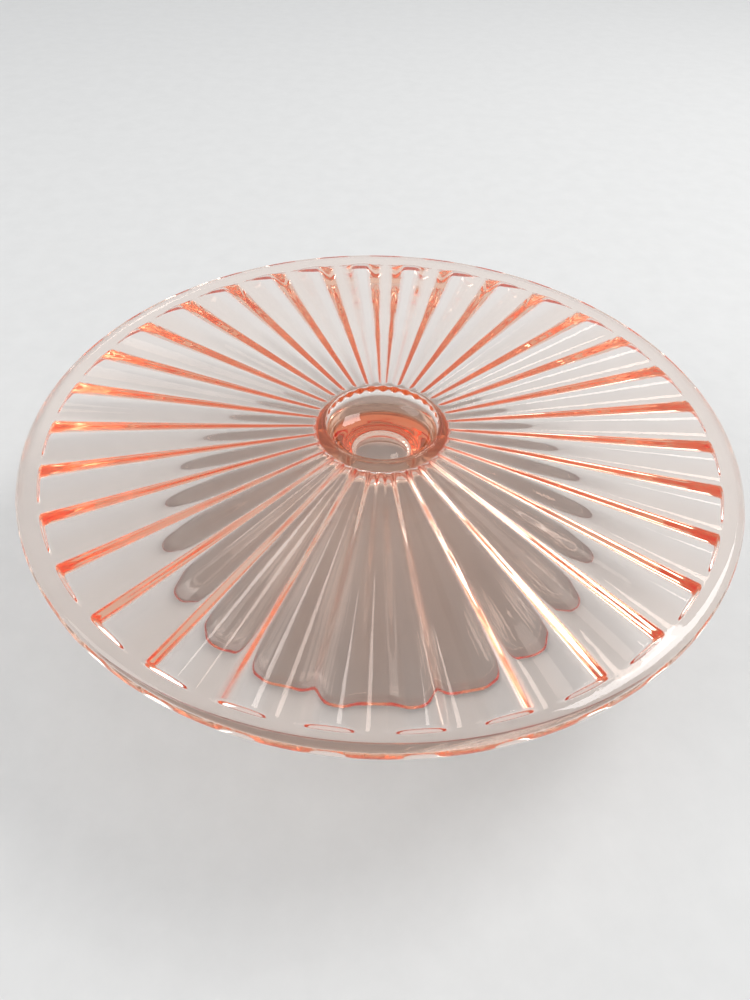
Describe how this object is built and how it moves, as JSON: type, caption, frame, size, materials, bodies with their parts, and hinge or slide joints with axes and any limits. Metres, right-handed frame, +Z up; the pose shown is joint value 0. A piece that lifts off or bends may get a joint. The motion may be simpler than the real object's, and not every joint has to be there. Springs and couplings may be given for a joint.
{
  "type": "glass pedestal cake plate",
  "caption": "Low round pressed-glass cake plate with a ribbed underside, a small central well and a hollow flared pedestal foot.",
  "frame": {"origin": "centre of the foot's resting plane, on the plate's axis", "axes": "+Z up along the axis of the pedestal; the plate is round, and a rib lies along -Y"},
  "size_m": [0.205, 0.205, 0.053],
  "materials": {
    "pressed_glass": "clear pale peach-pink pressed glass, fire polished"
  },
  "bodies": {
    "root": {"plate_disc": "pressed_glass", "plate_ribs": "pressed_glass", "rim_band": "pressed_glass", "well_lip": "pressed_glass", "well_block": "pressed_glass", "pedestal": "pressed_glass", "foot_ring": "pressed_glass"}
  },
  "joints": []
}
